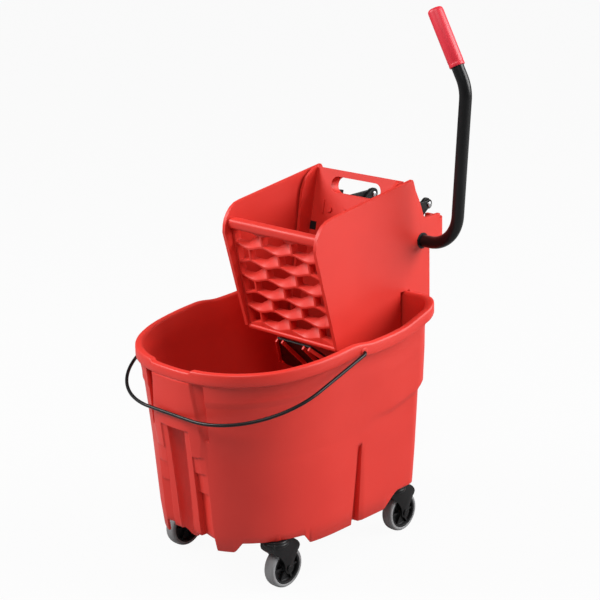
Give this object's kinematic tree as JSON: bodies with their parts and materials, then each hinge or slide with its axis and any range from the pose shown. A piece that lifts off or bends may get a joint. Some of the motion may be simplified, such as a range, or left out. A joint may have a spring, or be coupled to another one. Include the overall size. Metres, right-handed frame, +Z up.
{
  "type": "mop bucket with side press wringer",
  "caption": "Red plastic mop bucket on swivel casters with a black wire bail and a side press wringer worked by a bent black lever with a red grip.",
  "frame": {"origin": "on the ground, on the centre plane of the tub, 0.25 m ahead of its rear rim", "axes": "+X to the wringer end, -Y to the lever side, +Z up"},
  "size_m": [0.6012, 0.4334, 0.9572],
  "materials": {
    "red_plastic": "moulded polyethylene, soft sheen",
    "crimson_grip": "dipped vinyl sleeve",
    "black_steel": "black gloss powder coat",
    "black_plastic": "moulded",
    "grey_rubber": "non-marking grey",
    "bright_steel": "zinc plated"
  },
  "bodies": {
    "bucket": {"bucket_tub": "red_plastic"},
    "bail": {"bail_wire": "black_steel"},
    "wringer": {"wringer_right_side": "red_plastic", "wringer_left_side": "red_plastic", "wringer_front_grid": "red_plastic", "wringer_rear_saddle": "red_plastic", "drain_panel": "black_plastic", "drain_ribs": "red_plastic", "hinge_rod": "bright_steel", "rod_clips": "bright_steel", "shaft_bushes": "black_plastic", "frame_dowels": "bright_steel"},
    "press": {"press_plate": "red_plastic", "plate_bracket": "black_steel", "bracket_bolts": "bright_steel"},
    "lever": {"lever_tube": "black_steel", "lever_grip": "crimson_grip", "shaft_end_cap": "black_steel", "crank_right": "black_steel", "crank_left": "black_steel", "crank_rivets": "bright_steel"},
    "links": {"push_link_right": "black_steel", "push_link_left": "black_steel", "link_pins": "bright_steel"},
    "caster_fr": {"caster_fork_fr": "black_steel", "caster_stem_fr": "bright_steel", "wheel_axle_fr": "bright_steel"},
    "wheel_fr": {"wheel_hub_fr": "black_plastic", "wheel_tyre_fr": "grey_rubber"},
    "caster_fl": {"caster_fork_fl": "black_steel", "caster_stem_fl": "bright_steel", "wheel_axle_fl": "bright_steel"},
    "wheel_fl": {"wheel_hub_fl": "black_plastic", "wheel_tyre_fl": "grey_rubber"},
    "caster_rr": {"caster_fork_rr": "black_steel", "caster_stem_rr": "bright_steel", "wheel_axle_rr": "bright_steel"},
    "wheel_rr": {"wheel_hub_rr": "black_plastic", "wheel_tyre_rr": "grey_rubber"},
    "caster_rl": {"caster_fork_rl": "black_steel", "caster_stem_rl": "bright_steel", "wheel_axle_rl": "bright_steel"},
    "wheel_rl": {"wheel_hub_rl": "black_plastic", "wheel_tyre_rl": "grey_rubber"}
  },
  "joints": [
    {"name": "wringer_lift", "type": "slide", "parent": "bucket", "child": "wringer", "axis": [0, 0, 1], "range_m": [0, 0.2]},
    {"name": "handle_swing", "type": "hinge", "parent": "wringer", "child": "lever", "pos_m": [0.29, 0, 0.534], "axis": [0, -1, 0], "range_deg": [0, 75]},
    {"name": "press_plate_pivot", "type": "hinge", "parent": "wringer", "child": "press", "pos_m": [0.168, 0, 0.3], "axis": [0, -1, 0], "range_deg": [0, 19]},
    {"name": "link_pivot", "type": "hinge", "parent": "lever", "child": "links", "pos_m": [0.359, 0, 0.582], "axis": [0, -1, 0], "range_deg": [-66.5, 0]},
    {"name": "bail_swing", "type": "hinge", "parent": "bucket", "child": "bail", "pos_m": [0.036, 0, 0.407], "axis": [0, 1, 0], "range_deg": [0, 100]},
    {"name": "swivel_fr", "type": "hinge", "parent": "bucket", "child": "caster_fr", "pos_m": [-0.115, -0.127, 0.095], "axis": [0, 0, 1], "continuous": true},
    {"name": "roll_fr", "type": "hinge", "parent": "caster_fr", "child": "wheel_fr", "pos_m": [-0.099, -0.127, 0.0375], "axis": [0, 1, 0], "continuous": true},
    {"name": "swivel_fl", "type": "hinge", "parent": "bucket", "child": "caster_fl", "pos_m": [-0.115, 0.127, 0.095], "axis": [0, 0, 1], "continuous": true},
    {"name": "roll_fl", "type": "hinge", "parent": "caster_fl", "child": "wheel_fl", "pos_m": [-0.099, 0.127, 0.0375], "axis": [0, 1, 0], "continuous": true},
    {"name": "swivel_rr", "type": "hinge", "parent": "bucket", "child": "caster_rr", "pos_m": [0.189, -0.128, 0.095], "axis": [0, 0, 1], "continuous": true},
    {"name": "roll_rr", "type": "hinge", "parent": "caster_rr", "child": "wheel_rr", "pos_m": [0.205, -0.128, 0.0375], "axis": [0, 1, 0], "continuous": true},
    {"name": "swivel_rl", "type": "hinge", "parent": "bucket", "child": "caster_rl", "pos_m": [0.189, 0.128, 0.095], "axis": [0, 0, 1], "continuous": true},
    {"name": "roll_rl", "type": "hinge", "parent": "caster_rl", "child": "wheel_rl", "pos_m": [0.205, 0.128, 0.0375], "axis": [0, 1, 0], "continuous": true}
  ],
  "couplings": [
    {"joint": "press_plate_pivot", "follows": "handle_swing", "ratio": 0.25},
    {"joint": "link_pivot", "follows": "handle_swing", "ratio": -0.88}
  ]
}
